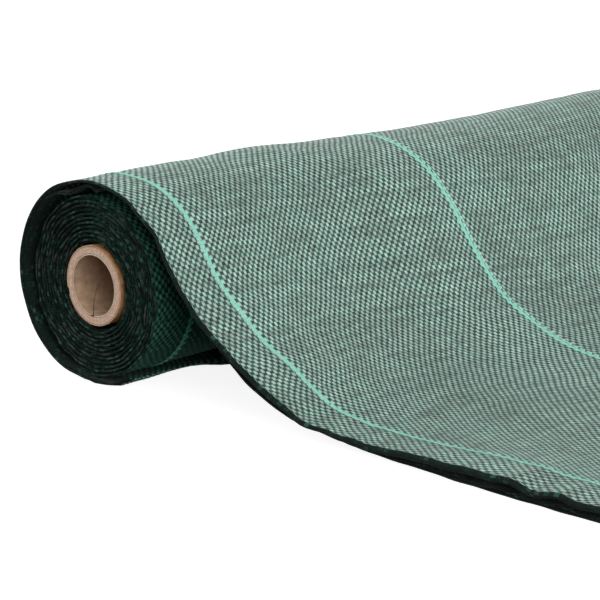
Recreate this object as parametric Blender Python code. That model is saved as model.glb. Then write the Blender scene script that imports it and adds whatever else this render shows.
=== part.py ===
# Roll of woven weed control cloth, wound on a cardboard core and partly paid out.
#
# Frame: X runs along the roll, +Z is up, and the floor is Z = 0.
# The origin lies on the floor under the core's axis, halfway along the cloth.
# The cloth leaves the roll at its top, falls towards -Y and lies on the floor.

import math

import bmesh
import bpy
import numpy as np

mm = 0.001

# Cardboard core, wound from helical paper plies and cut square
core_length = 1006.0 * mm
core_bore_d = 38.0 * mm
core_wall = 6.0 * mm
core_cover_t = 0.6 * mm
core_liner_t = 0.6 * mm
glue_gap = 0.3 * mm
ply_lead = 97.0 * mm
ply_seam = 0.8 * mm
ply_tip = 1.5 * mm
core_facets = 32
cover_seam_turn_share = 0.30
liner_seam_turn_share = 0.51

# Cloth, folded twice along its length into a stack of four plies
folded_width = 1000.0 * mm
ply_t = 0.45 * mm
ply_count = 4

# Wound cloth on the core
turns = 11
turn_stations = 24
wound_t = 2.1 * mm
turn_gap = 0.55 * mm
core_fit_gap = 0.45 * mm
wound_edge_inset = 5.0 * mm
core_shift = 3.3 * mm
dish_depth = 1.6 * mm
nose_depth = 1.2 * mm
notch_depth = 5.0 * mm
outer_end_turn_share = -0.04

# Slack outer lap, which belongs to the paid-out cloth
lap_ply_gap = 0.35 * mm
lap_clearance = 0.55 * mm
lap_slack = 5.9 * mm
lap_foot = 16.0 * mm
lap_tail = 10.0 * mm
lap_tail_rise = 1.2 * mm
lap_facets = 40

# Run-off from the top of the roll down to the floor, and the laid length
touch_down_reach = 240.0 * mm
laid_flat = 260.0 * mm
top_handle_share = 0.40
floor_handle_share = 0.73
run_off_stations = 22
flat_stations = 22

# Looser plies on the floor, and the edge that springs up there
laid_ply_gap = 1.0 * mm
edge_ply_gap = 2.4 * mm
edge_swell_width = 60.0 * mm
rim_wave_length = 90.0 * mm
rim_wave_share = 0.20
rim_sway_share = 0.40
fold_edge_inset = 6.0 * mm
upper_selvedge_inset = 10.0 * mm
lower_selvedge_inset = 13.0 * mm
lap_selvedge_inset = 1.5 * mm

# Coloured guide yarns, woven along the cloth near its folded edge
yarn_count = 2
yarn_pitch = 229.0 * mm
yarn_first = 31.0 * mm
yarn_width = 2.6 * mm
yarn_t = 0.3 * mm
yarn_seat = 0.3 * mm
yarn_end_turn_share = 0.03

# Sizes that follow from the ones above
bore_r = core_bore_d / 2
core_r = bore_r + core_wall
turn_pitch = wound_t + turn_gap
wound_inner_r = core_r + core_fit_gap
wound_outer_r = wound_inner_r + wound_t + turns * turn_pitch
yarn_stand = yarn_seat + yarn_t
lap_t = ply_count * ply_t + (ply_count - 1) * lap_ply_gap
foot_to_axis = wound_outer_r + yarn_stand + lap_clearance
axis_height = lap_t + foot_to_axis
lap_inner_r = foot_to_axis + lap_slack / 2
lap_centre_z = lap_t + lap_inner_r
near_x = -folded_width / 2
far_x = near_x + folded_width
swell_x = near_x + edge_swell_width
core_x = wound_edge_inset + core_shift


# Scene and materials

def clear_scene():
    for ob in list(bpy.data.objects):
        bpy.data.objects.remove(ob, do_unlink=True)


def material(name, colour, roughness):
    mat = bpy.data.materials.new(name)
    mat.use_nodes = True
    shader = mat.node_tree.nodes["Principled BSDF"]
    shader.inputs["Base Color"].default_value = (*colour, 1.0)
    shader.inputs["Roughness"].default_value = roughness
    shader.inputs["Metallic"].default_value = 0.0
    mat.diffuse_color = (*colour, 1.0)
    return mat


def add_object(name, bm, mat, parent=None):
    bmesh.ops.recalc_face_normals(bm, faces=bm.faces)
    mesh = bpy.data.meshes.new(name)
    bm.to_mesh(mesh)
    bm.free()
    mesh.materials.append(mat)
    mesh.shade_smooth()
    mesh.set_sharp_from_angle(angle=math.radians(35))
    ob = bpy.data.objects.new(name, mesh)
    bpy.context.collection.objects.link(ob)
    if parent is not None:
        ob.parent = parent
    return ob


# A closed body through a row of equal rings, capped at both ends
def loft(rings):
    bm = bmesh.new()
    rows = [[bm.verts.new(point) for point in ring] for ring in rings]
    size = len(rows[0])
    for a, b in zip(rows[:-1], rows[1:]):
        for k in range(size):
            n = (k + 1) % size
            bm.faces.new((a[k], a[n], b[n], b[k]))
    bm.faces.new(rows[0])
    bm.faces.new(list(reversed(rows[-1])))
    return bm


# Cardboard core

# A tube turned from its wall's section; every core piece has the same facets,
# so that their flats stay parallel and their gaps stay even
def core_tube(inner_r, outer_r):
    bm = bmesh.new()
    x0, x1 = core_x - core_length / 2, core_x + core_length / 2
    corners = ((x0, inner_r), (x1, inner_r), (x1, outer_r), (x0, outer_r))
    verts = [bm.verts.new((x, 0.0, r)) for x, r in corners]
    edges = [bm.edges.new((verts[k], verts[(k + 1) % 4])) for k in range(4)]
    bmesh.ops.spin(bm, geom=verts + edges, cent=(0, 0, 0), axis=(1, 0, 0), dvec=(0, 0, 0),
                   angle=2 * math.pi, steps=core_facets, use_merge=True, use_duplicate=False)
    return bm


# A paper ply wound as one helical strip, butt-jointed to itself along a seam,
# and cut square with the core's ends
def helical_ply(inner_r, outer_r, seam_turn_share):
    strip = ply_lead - ply_seam
    step = 2 * math.pi / core_facets
    first = math.ceil((ply_tip - strip) / ply_lead * core_facets)
    last = math.floor((core_length - ply_tip) / ply_lead * core_facets)
    start_x = core_x - core_length / 2
    rings = []
    for k in range(first, last + 1):
        advance = ply_lead * k / core_facets
        x0 = start_x + max(advance, 0.0)
        x1 = start_x + min(advance + strip, core_length)
        angle = (round(seam_turn_share * core_facets) - k) * step
        y, z = math.sin(angle), math.cos(angle)
        rings.append([(x0, inner_r * y, inner_r * z), (x1, inner_r * y, inner_r * z),
                      (x1, outer_r * y, outer_r * z), (x0, outer_r * y, outer_r * z)])
    return loft(rings)


def make_core(board, liner_board, axle):
    cover_inner_r = core_r - core_cover_t
    liner_outer_r = bore_r + core_liner_t
    body = core_tube(liner_outer_r + glue_gap, cover_inner_r - glue_gap)
    add_object("core_body", body, board, axle)
    cover = helical_ply(cover_inner_r, core_r, cover_seam_turn_share)
    add_object("core_outer_ply", cover, board, axle)
    liner = helical_ply(bore_r, liner_outer_r, liner_seam_turn_share)
    add_object("core_inner_ply", liner, liner_board, axle)


# Wound cloth

# Radius of the wound cloth's outer face, 'wound' turns in from its outer end.
# Turns are counted from the roll's foot, up its front and over its top.
def spiral_r(wound):
    return wound_outer_r - turn_pitch * wound


def around_core(turn, r):
    angle = 2 * math.pi * turn
    return -r * math.sin(angle), -r * math.cos(angle)


# Section of one turn: a folded pair of plies outside, two selvedges inside,
# with a notch between them, drawn in like a dish towards the core
def wound_ring(wound):
    outer = spiral_r(wound)
    inner = outer - wound_t
    middle = outer - wound_t / 2
    x0 = near_x + wound_edge_inset + dish_depth * wound / turns
    x1 = x0 + folded_width
    section = ((x0 + nose_depth, outer), (x0, (outer + middle) / 2), (x0 + notch_depth, middle),
               (x0 + nose_depth / 2, (inner + middle) / 2), (x0 + 2 * nose_depth, inner),
               (x1 - nose_depth, inner), (x1, middle), (x1 - nose_depth, outer))
    turn = wound + outer_end_turn_share
    return [(x, *around_core(turn, r)) for x, r in section]


def make_winding(cloth, axle):
    rings = [wound_ring(k / turn_stations) for k in range(turns * turn_stations + 1)]
    add_object("wound_cloth", loft(rings), cloth, axle)
    return rings


# Least gap between each turn and the next one in, at every station
def least_turn_gap(rings):
    points = np.array(rings)
    across = np.hypot(points[:, :, 1], points[:, :, 2])
    inner = across[:-turn_stations, 4:6].min(axis=1)
    outer = across[turn_stations:, (0, 7)].max(axis=1)
    flat_share = math.cos(math.pi / turn_stations)
    return float((inner * flat_share - outer * flat_share).min())


# Paid-out cloth

# Stations of the stack's under side, from the cut end to the end below the roll:
# place, the way from the under side to the top, and how loose the stack lies
def cloth_path():
    lap_top_z = lap_centre_z + lap_inner_r
    landing = np.array((-touch_down_reach, 0.0))
    top = np.array((0.0, lap_top_z))
    floor_handle = landing + (floor_handle_share * touch_down_reach, 0.0)
    top_handle = top - (top_handle_share * touch_down_reach, 0.0)
    stations = []
    for k in range(flat_stations):
        y = -touch_down_reach - laid_flat * (1 - k / flat_stations)
        stations.append((y, 0.0, 0.0, 1.0, 1.0))
    for k in range(run_off_stations):
        t = k / run_off_stations
        s = 1 - t
        place = s**3 * landing + 3 * s * s * t * floor_handle + 3 * s * t * t * top_handle + t**3 * top
        leave, cross, arrive = floor_handle - landing, top_handle - floor_handle, top - top_handle
        way = s * s * leave + 2 * s * t * cross + t * t * arrive
        way /= np.linalg.norm(way)
        stations.append((place[0], place[1], -way[1], way[0], s))
    foot_turn = math.asin(lap_foot / 2 / lap_inner_r)
    steps = lap_facets // 2
    for k in range(steps + 1):
        angle = (math.pi - foot_turn) * k / steps
        out_y, out_z = math.sin(angle), math.cos(angle)
        drop = lap_inner_r * (1 - math.cos(foot_turn)) * (k == steps)
        place_z = lap_centre_z + lap_inner_r * out_z - drop
        if k == steps:
            out_y, out_z = 0.0, -1.0
        stations.append((lap_inner_r * math.sin(angle), place_z, out_y, out_z, 0.0))
    stations.append((-lap_foot / 2, lap_t, 0.0, -1.0, 0.0))
    tilt = math.atan2(lap_tail_rise, lap_tail)
    tail_y, tail_z = -lap_foot / 2 - lap_tail, lap_t + lap_tail_rise
    stations.append((tail_y, tail_z, -math.sin(tilt), -math.cos(tilt), 0.0))
    return stations


# Slow wave of the loose rim along the cloth, from -1 to 1
def rim_wave(y):
    return math.sin(2 * math.pi * y / rim_wave_length)


# Gap between two plies, inside the stack and at its near rim
def ply_gaps(loose, wave):
    inside = lap_ply_gap + (laid_ply_gap - lap_ply_gap) * loose
    rim = lap_ply_gap + (edge_ply_gap * (1 + rim_wave_share * wave) - lap_ply_gap) * loose
    return inside, rim


# Tip of the near fold, and where its round nose begins
def tip_x(loose, wave):
    return near_x + fold_edge_inset * (1 + rim_sway_share * wave) * loose


def nose_x(loose, wave):
    return tip_x(loose, wave) + (ply_t + ply_gaps(loose, wave)[1]) / 2


# Middle line of the folded cloth across the stack, as (x, height) points:
# lower selvedge, ply 1, outer fold, ply 4, near fold, ply 3, inner fold, ply 2
def fold_line(loose, wave):
    gap, rim_gap = ply_gaps(loose, wave)

    def height(ply, spread):
        return ply_t / 2 + (ply - 1) * (ply_t + spread)

    def selvedge_x(laid_inset):
        return near_x + lap_selvedge_inset + (laid_inset - lap_selvedge_inset) * loose

    nose = nose_x(loose, wave)
    slope = ((nose + swell_x) / 2, height(4, (rim_gap + gap) / 2))
    inner_nose = (ply_t + gap) / 2
    outer_nose = (ply_count - 1) * inner_nose
    outer_x = far_x - outer_nose
    inner_x = outer_x - outer_nose
    return [(selvedge_x(lower_selvedge_inset), height(1, rim_gap)), (swell_x, height(1, gap)),
            (outer_x, height(1, gap)), (far_x, height(2, gap)), (far_x, height(3, gap)),
            (outer_x, height(4, gap)), (swell_x, height(4, gap)), slope,
            (nose, height(4, rim_gap)), (tip_x(loose, wave), height(3.5, rim_gap)),
            (nose, height(3, rim_gap)), (swell_x, height(3, gap)),
            (inner_x, height(3, gap)), (inner_x + inner_nose, height(2.5, gap)),
            (inner_x, height(2, gap)), (swell_x, height(2, gap)),
            (selvedge_x(upper_selvedge_inset), height(2, rim_gap))]


# Both faces of the cloth, half its thickness either side of the middle line
def thicken(line, thickness):
    points = np.array(line)
    ways = np.diff(points, axis=0)
    ways /= np.linalg.norm(ways, axis=1)[:, None]
    sides = np.stack((-ways[:, 1], ways[:, 0]), axis=1)
    before = np.vstack((sides[:1], sides))
    after = np.vstack((sides, sides[-1:]))
    mitre = before + after
    mitre /= (1 + (before * after).sum(axis=1))[:, None]
    left = points + mitre * thickness / 2
    right = points - mitre * thickness / 2
    return [*left, *right[::-1]]


def paid_out_ring(station):
    y, z, out_y, out_z, loose = station
    line = fold_line(loose, rim_wave(y))
    return [(x, y + h * out_y, z + h * out_z) for x, h in thicken(line, ply_t)]


def make_paid_out_cloth(cloth):
    stations = cloth_path()
    rings = [paid_out_ring(station) for station in stations]
    add_object("paid_out_cloth", loft(rings), cloth)
    return stations


# Guide yarns

def strip_ring(x, y, z, out_y, out_z, low, high):
    half = yarn_width / 2
    return [(x + side * half, y + h * out_y, z + h * out_z)
            for side, h in ((-1, low), (1, low), (1, high), (-1, high))]


# Height of the stack's top face above its under side
def stack_top(x, loose, wave):
    gap, rim_gap = ply_gaps(loose, wave)
    nose = nose_x(loose, wave)
    reach = min(max((x - nose) / (swell_x - nose), 0.0), 1.0)
    spread = rim_gap + (gap - rim_gap) * reach
    return ply_count * ply_t + (ply_count - 1) * spread


def make_yarns(yarn, stations, axle):
    foot_stations = 2
    last = len(stations) - foot_stations - round(lap_facets * yarn_end_turn_share) - 1
    for k in range(yarn_count):
        x = near_x + yarn_first + k * yarn_pitch
        rings = []
        for y, z, out_y, out_z, loose in stations[:last]:
            low = stack_top(x - yarn_width / 2, loose, rim_wave(y)) + yarn_seat
            rings.append(strip_ring(x, y, z, out_y, out_z, low, low + yarn_t))
        add_object(f"laid_guide_yarn_{k + 1}", loft(rings), yarn)
    first = 1
    for k in range(yarn_count):
        x = near_x + wound_edge_inset + yarn_first + k * yarn_pitch
        rings = []
        for n in range(first, turn_stations - first):
            r = spiral_r(n / turn_stations)
            y, z = around_core(n / turn_stations + outer_end_turn_share, r)
            rings.append(strip_ring(x, y, z, y / r, z / r, yarn_seat, yarn_seat + yarn_t))
        add_object(f"wound_guide_yarn_{k + 1}", loft(rings), yarn, axle)


def main():
    clear_scene()
    board = material("kraft board", (0.52, 0.36, 0.24), 0.9)
    liner_board = material("grey brown liner board", (0.36, 0.28, 0.21), 0.9)
    dark_cloth = material("woven tape cloth, shaded", (0.020, 0.060, 0.050), 0.6)
    cloth = material("woven tape cloth", (0.16, 0.31, 0.26), 0.6)
    yarn = material("guide yarn", (0.28, 0.78, 0.66), 0.5)

    axle = bpy.data.objects.new("roll_axis", None)
    axle.location = (0, 0, axis_height)
    bpy.context.collection.objects.link(axle)

    make_core(board, liner_board, axle)
    rings = make_winding(dark_cloth, axle)
    stations = make_paid_out_cloth(cloth)
    make_yarns(yarn, stations, axle)
    print(f"axis height {axis_height / mm:.2f} mm, wound radius {wound_outer_r / mm:.2f} mm")
    print(f"least gap between turns {least_turn_gap(rings) / mm:.2f} mm")


main()
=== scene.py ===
import math
from functools import partial

import bpy
import numpy as np
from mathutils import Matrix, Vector


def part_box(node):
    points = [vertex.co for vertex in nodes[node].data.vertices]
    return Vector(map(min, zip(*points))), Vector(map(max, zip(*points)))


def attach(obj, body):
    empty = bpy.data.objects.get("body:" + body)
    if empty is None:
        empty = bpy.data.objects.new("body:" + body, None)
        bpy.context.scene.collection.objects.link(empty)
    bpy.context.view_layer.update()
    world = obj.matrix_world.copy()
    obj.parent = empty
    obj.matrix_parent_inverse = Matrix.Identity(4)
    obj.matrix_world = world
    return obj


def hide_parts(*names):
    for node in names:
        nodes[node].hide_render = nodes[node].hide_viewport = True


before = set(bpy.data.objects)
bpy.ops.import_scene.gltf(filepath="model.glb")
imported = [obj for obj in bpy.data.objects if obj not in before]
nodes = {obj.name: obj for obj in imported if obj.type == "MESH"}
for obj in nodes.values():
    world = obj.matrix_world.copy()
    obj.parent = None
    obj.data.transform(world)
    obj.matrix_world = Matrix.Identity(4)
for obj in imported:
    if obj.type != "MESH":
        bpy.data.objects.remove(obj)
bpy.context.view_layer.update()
print("frame loaded,", len(nodes), "CAD nodes")

# Shapes are worked out in millimetres and turned to metres when a mesh is made.
# X runs along the roll, +Z is up, and the cloth is laid out towards -Y.
mm = 0.001
creaseAngle = 50         # degrees; edges that are bent further stay crisp
leastMitre = 0.4         # keeps the corner of a sharp bend from sticking out


# Small tools for shapes

# Smooth curve through given (place, value) points, flat beyond its ends.
# Its slopes are limited, so that it never swings past a point.
def curveThrough(points, place):
    knots, values = np.array(points, float).T
    rates = np.diff(values) / np.diff(knots)
    product, total = rates[:-1] * rates[1:], rates[:-1] + rates[1:]
    inner = np.where(product > 0, 2 * product / np.where(product > 0, total, 1), 0)
    slopes = np.concatenate(([0.0], inner, [0.0]))
    k = np.clip(np.searchsorted(knots, place) - 1, 0, len(knots) - 2)
    span = knots[k + 1] - knots[k]
    t = np.clip((place - knots[k]) / span, 0, 1)
    start = (1 + 2 * t) * (1 - t) ** 2 * values[k] + t * (1 - t) ** 2 * span * slopes[k]
    end = t * t * (3 - 2 * t) * values[k + 1] + t * t * (t - 1) * span * slopes[k + 1]
    return start + end


def smoothStep(t):
    t = np.clip(t, 0, 1)
    return t * t * (3 - 2 * t)


# 1 between two places, fading in past the first and out past the second
def between(place, first, last, fade):
    return smoothStep((place - first) / fade) * (1 - smoothStep((place - last) / fade))


# Sum of sine waves, each (wavelength, height, phase in turns)
def ripple(place, waves):
    return sum(height * np.sin(2 * np.pi * (place / length + phase)) for length, height, phase in waves)


# The same over the cloth, each wave with its shares of c and s before the rest
def slantedRipple(c, s, waves):
    return sum(ripple(shareOfC * c + shareOfS * s, [wave]) for shareOfC, shareOfS, *wave in waves)


# The same stations as columns, to be set against points across the cloth
def asColumns(stations):
    return {key: value[:, None] for key, value in stations.items()}


# Both faces of a thin strip whose middle lines are rows of (x, height) points
def thickenLines(lines, thickness):
    ways = np.diff(lines, axis=1)
    ways /= np.linalg.norm(ways, axis=2)[:, :, None]
    sides = np.stack((-ways[:, :, 1], ways[:, :, 0]), axis=2)
    before = np.concatenate((sides[:, :1], sides), axis=1)
    after = np.concatenate((sides, sides[:, -1:]), axis=1)
    mitre = before + after
    mitre /= np.maximum(1 + (before * after).sum(axis=2), leastMitre)[:, :, None]
    return lines + mitre * thickness / 2, lines - mitre * thickness / 2


# Closed bands lofted through stations. Each has its two faces as arrays (station, point, xyz) in
# mm, and each point's place on the flat cloth in mm, which goes to the UV layer flatCloth.
def bandMesh(name, bands, material):
    verts, faces, flats, start = [], [], [], 0
    for left, right, flat in bands:
        ring = np.concatenate((left, right[:, ::-1]), axis=1)
        ringFlat = np.concatenate((flat, flat[:, ::-1]), axis=1)
        stations, size = ring.shape[:2]
        row = np.arange(stations - 1)[:, None] * size
        a = row + np.arange(size)[None, :]
        b = row + (np.arange(size)[None, :] + 1) % size
        quads = np.stack((a, b, b + size, a + size), axis=2).reshape(-1, 4)
        k = np.arange(left.shape[1] - 1)
        cap = np.stack((size - 1 - k, size - 2 - k, k + 1, k), axis=1)
        quads = np.concatenate((quads, cap, cap[:, ::-1] + (stations - 1) * size))
        places = ring.reshape(-1, 3)
        p = places[quads]
        volume = (np.cross(p[:, 0], p[:, 1]) * p[:, 2]).sum() + (np.cross(p[:, 0], p[:, 2]) * p[:, 3]).sum()
        if volume < 0:
            quads = quads[:, ::-1]
        verts.append(places * mm)
        faces.append(quads + start)
        flats.append(ringFlat.reshape(-1, 2))
        start += len(places)
    verts, faces, flats = (np.concatenate(part) for part in (verts, faces, flats))
    mesh = bpy.data.meshes.new(name)
    mesh.vertices.add(len(verts))
    mesh.vertices.foreach_set("co", verts.astype(np.float32).ravel())
    mesh.loops.add(faces.size)
    mesh.loops.foreach_set("vertex_index", faces.ravel().astype(np.int32))
    mesh.polygons.add(len(faces))
    mesh.polygons.foreach_set("loop_start", np.arange(0, faces.size, 4, dtype=np.int32))
    mesh.update(calc_edges=True)
    layer = mesh.uv_layers.new(name="flatCloth")
    layer.data.foreach_set("uv", flats[faces.ravel()].astype(np.float32).ravel())
    mesh.validate()
    mesh.shade_smooth()
    mesh.set_sharp_from_angle(angle=math.radians(creaseAngle))
    mesh.materials.append(material)
    piece = bpy.data.objects.new(name, mesh)
    bpy.context.collection.objects.link(piece)
    return piece


# Small tools for materials

def hexColour(code):
    values = [int(code[k:k + 2], 16) / 255 for k in (1, 3, 5)]
    linear = [v / 12.92 if v <= 0.04045 else ((v + 0.055) / 1.055) ** 2.4 for v in values]
    return (*linear, 1.0)


# Adds a node and sets its properties. Its inputs, in order or by name, get a value, a hex colour
# or a link, and a node given as an input stands for its first output in use.
def addNode(tree, kind, inputs=(), **settings):
    node = tree.nodes.new("ShaderNode" + kind)
    for name, value in settings.items():
        setattr(node, name, value)
    inUse = [socket for socket in node.inputs if socket.enabled]
    if not isinstance(inputs, dict):
        inputs = dict(enumerate(inputs))
    for key, value in inputs.items():
        socket = node.inputs[key] if isinstance(key, str) else inUse[key]
        if isinstance(value, str):
            value = hexColour(value)
        if isinstance(value, bpy.types.Node):
            value = next(output for output in value.outputs if output.enabled)
        if isinstance(value, bpy.types.NodeSocket):
            tree.links.new(value, socket)
        else:
            socket.default_value = value
    return node


# Settings of a Mix node that mixes two colours, or multiplies one by the other
colours = {"data_type": "RGBA"}
multiplied = {"data_type": "RGBA", "blend_type": "MULTIPLY"}


# Empties the nodes of a material or the world, and gives the function that adds to them
def startNodes(owner):
    owner.use_nodes = True
    owner.node_tree.nodes.clear()
    return partial(addNode, owner.node_tree)


clothLow, clothHigh = (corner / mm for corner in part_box("paid_out_cloth"))
nearX, clothWidth = clothLow.x, clothHigh.x - clothLow.x

# Weave of the cloth, in mm. Widths, edges and the crown are shares of the pitch.
weave = {
    "tapePitch": 229 / 93,      # warp tapes, 10 to the inch; guide yarns lie 93 tapes apart
    "pickPitch": 2.70,          # weft tapes
    "firstYarn": 31.0,          # from the near fold to the first guide yarn
    "yarnTapes": 93,
    "warpWidth": 0.90,
    "weftWidth": 0.74,
    "tapeEdge": (0.05, 0.02),   # softness inside and outside a tape's edge
    "gapEdge": (0.06, 0.04),    # the same where the weft meets the gap
    "crown": 0.1,               # how far a float's crown runs on past its end
    "rounding": 1.2,            # how much a warp tape falls away at its sides
    "weftHeight": 0.62,         # of a weft float, where a warp float's is 1
    "relief": 0.28,
    "bumpStrength": 0.9,
    # The rows run a little unevenly, as those of loosely woven tapes do
    "wanderLength": 34.0,
    "wander": (2.6, 3.4, 0.0),  # across, along, and none in Z
    "wanderMean": 1.3,          # taken off again, so that the tapes keep their places
    "shiverLength": 11.0,
    "shiver": (0.9, 1.3, 0.0),
}

clothLook = {
    "warp": "#B2D0C5",          # pale green slit film tape
    "warpWorn": "#A0A39C",
    "greener": "#9CCFBC",       # here and there a float that isn't faded
    "weft": "#3F5F55",          # dark green tape
    # painted shade in the gaps between the weft tapes
    "gap": "#101C18",
    "paintedShadeWarp": "#478570",    # painted shade: the same tapes, darker inside the folds and the roll
    "paintedShadeWorn": "#304F44",
    "paintedShadeWeft": "#1A352C",
    "shadedEdgeWarp": "#1F3B31",      # painted shade on the tapes beside the selvedges and inside the near fold
    "shadedEdgeWeft": "#1A1E1D",
    # painted grey highlight on the tips of the folds in the roll
    "paintedTipHighlight": "#4A504E",
    "warpRoughness": 0.45,
    "weftRoughness": 0.60,
    "insideRoughness": 0.80,
    "edgeRoughness": 0.95,
    "specular": 0.07,
    "woundSpecular": 0.02,
    "ior": 1.49,
    "haze": 0.06,               # pale gloss of the scuffed tapes at low angles
    "hazeRoughness": 0.30,
    # Lightness of a warp float: at the least, and what its tape, its pick and itself add
    "leastLight": 0.64,
    "tapeTone": 0.231,
    "pickTone": 0.189,
    "floatTone": 0.189,
    "paintedHollowShade": 0.35,        # painted shade: lightness where it dips, and what its crown adds
    "paintedCrownLight": 0.75,
    "weftLight": 0.55,          # the same for a weft float, and what its own tone adds
    "weftTone": 0.60,
    "greenerFrom": (0.84, 0.94),        # here as below, where a share starts and where it is full
    "greenerMost": 0.35,
    # Wear in streaks along the weft, and in broad patches, sizes in mm
    "streakSize": (34.0, 4.2, 1.0),     # across, along, and 1 for Z, which has no pattern
    "streakWear": 1.5,
    "patchSize": 90.0,
    "patchWear": 0.5,
    "leastWear": -0.85,
    "wornFrom": (0.05, 0.45),
    "wornMost": 0.65,
    "wornDarker": 0.36,
    # Painted shade at the edges: its reach from fold and selvedge, and painted green glints on it in clusters
    "edgeReach": 16.0,
    "foldEdge": -0.4,
    "clusterSize": 26.0,
    "clusterFrom": (0.42, 0.56),
    "glintFrom": (0.55, 1.0),
    "glintLight": (0.3, 1.8),
    "clusterLight": 1.3,        # what a painted glint outside a cluster lacks, on the paid-out cloth
    # Painted grey highlights on the tips of the folds at the roll's end
    "tipMiddle": 0.6,
    "tipReach": 1.3,
    "tipHighlightSize": 13.0,
    "tipHighlightFrom": (0.48, 0.66),
    "tipHighlightMost": 0.5,
    "fibrilSize": (0.2, 4.0, 1.0),      # fine fibrils along each tape, in mm
    "fibrilDepth": 0.12,        # share of a float's height
}


# Woven polypropylene slit film tapes. To the eye: small slanted dashes of satin green in a
# checkerboard over near black, with paler and darker streaks, and a pale gloss at low angles.
# The two lower plies get darker copies of the colours, as painted shade, and so does all of the cloth when
# the share given second is 0.
def wovenTapeCloth(name, paintedLitShare, specular):
    material = bpy.data.materials.new(name)
    add = startNodes(material)
    look = clothLook

    place = add("UVMap", uv_map="flatCloth")
    flat = add("SeparateXYZ", [place])
    slow = add("TexNoise", {"Vector": place, "Scale": 1 / weave["wanderLength"], "Detail": 2.0})
    quick = add("TexNoise", {"Vector": place, "Scale": 1 / weave["shiverLength"], "Detail": 3.0,
                             "Roughness": 0.6})
    woven = add("VectorMath", [quick.outputs["Color"], weave["shiver"], place], operation="MULTIPLY_ADD")
    woven = add("VectorMath", [slow.outputs["Color"], weave["wander"], woven], operation="MULTIPLY_ADD")

    # Both sets of tapes at once, warp in X and weft in Y: which tape, and how far from its middle
    firstTape = (weave["firstYarn"] + weave["wanderMean"], 0, 0)
    tapes = add("VectorMath", [woven, firstTape], operation="SUBTRACT")
    tapes = add("VectorMath", [tapes, (weave["tapePitch"], weave["pickPitch"], 1)], operation="DIVIDE")
    counts = add("VectorMath", [tapes], operation="FLOOR")
    insides = add("VectorMath", [tapes], operation="FRACTION")
    insides = add("VectorMath", [insides, (0.5, 0.5, 0.5)], operation="SUBTRACT")
    insides = add("SeparateXYZ", [add("VectorMath", [insides], operation="ABSOLUTE")])
    inWarp, inWeft = insides.outputs["X"], insides.outputs["Y"]
    warpCount, weftCount = add("SeparateXYZ", [counts]).outputs[:2]
    # 1 where the weft tape lies on top at a crossing, 0 where the warp tape does
    weftOver = add("Math", [warpCount, weftCount], operation="ADD")
    weftOver = add("Math", [weftOver, 2.0], operation="FLOORED_MODULO")

    # Distance from the middle of the float, along it, for each set of tapes
    warpRun = add("Mix", [weftOver, inWeft, add("Math", [1.0, inWeft], operation="SUBTRACT")])
    weftRun = add("Mix", [weftOver, add("Math", [1.0, inWarp], operation="SUBTRACT"), inWarp])
    warpReach = 1 - weave["weftWidth"] / 2
    inner, outer = weave["tapeEdge"]
    edges = [add("MapRange", [run, reach - inner, reach + outer, 1.0, 0.0], interpolation_type="SMOOTHSTEP")
             for run, reach in ((warpRun, warpReach), (inWarp, weave["warpWidth"] / 2))]
    warpShows = add("Math", edges, operation="MULTIPLY")

    # Crowned floats that dip where they go under
    warpCrown = add("Math", [warpRun, warpReach + weave["crown"]], operation="DIVIDE")
    warpCrown = add("Math", [warpCrown, 2.0], operation="POWER")
    warpCrown = add("Math", [1.0, warpCrown], operation="SUBTRACT")
    warpSide = add("Math", [inWarp, 2.0], operation="POWER")
    warpRound = add("Math", [warpSide, -weave["rounding"], warpCrown], operation="MULTIPLY_ADD")
    weftCrown = add("Math", [weftRun, 2.0], operation="POWER")
    weftCrown = add("Math", [1.0, weftCrown], operation="SUBTRACT")
    weftCrown = add("Math", [weftCrown, weave["weftHeight"]], operation="MULTIPLY")
    height = add("Mix", [warpShows, weftCrown, warpRound])

    # Each tape and each float has its own tone
    tapeTone = add("TexWhiteNoise", {"W": warpCount}, noise_dimensions="1D")
    pickTone = add("TexWhiteNoise", {"W": weftCount}, noise_dimensions="1D")
    floatTone = add("TexWhiteNoise", {"Vector": counts}, noise_dimensions="2D")
    light = look["leastLight"]
    for tone, share in ((floatTone, "floatTone"), (pickTone, "pickTone"), (tapeTone, "tapeTone")):
        light = add("Math", [tone, look[share], light], operation="MULTIPLY_ADD")

    streakPlace = add("VectorMath", [woven, look["streakSize"]], operation="DIVIDE")
    streak = add("TexNoise", {"Vector": streakPlace, "Scale": 1.0, "Detail": 4.0, "Roughness": 0.65})
    patch = add("TexNoise", {"Vector": place, "Scale": 1 / look["patchSize"], "Detail": 2.0})
    wear = add("Math", [patch, look["patchWear"], look["leastWear"]], operation="MULTIPLY_ADD")
    wear = add("Math", [streak, look["streakWear"], wear], operation="MULTIPLY_ADD")
    worn = add("MapRange", [wear, *look["wornFrom"], 0.0, look["wornMost"]])

    # Lit and worn floats of the warp: lit colours on the upper plies, darker copies as painted shade on the
    # two lower plies and in the roll
    fromFold = add("Math", [flat, -1.0], operation="MULTIPLY")
    fromMiddle = add("Math", [flat], operation="ABSOLUTE")
    upperPlies = add("Math", [fromMiddle, clothWidth], operation="LESS_THAN")
    paintedLitPlies = add("Math", [upperPlies, paintedLitShare], operation="MULTIPLY")
    greener = add("MapRange", [floatTone, *look["greenerFrom"], 0.0, look["greenerMost"]])
    outerWarp = add("Mix", [greener, look["warp"], look["greener"]], **colours)
    outerWarp = add("Mix", [worn, outerWarp, look["warpWorn"]], **colours)
    paintedShadeWarp = add("Mix", [worn, look["paintedShadeWarp"], look["paintedShadeWorn"]], **colours)
    warp = add("Mix", [paintedLitPlies, paintedShadeWarp, outerWarp], **colours)
    wornLight = add("Math", [worn, -look["wornDarker"], 1.0], operation="MULTIPLY_ADD")
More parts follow.
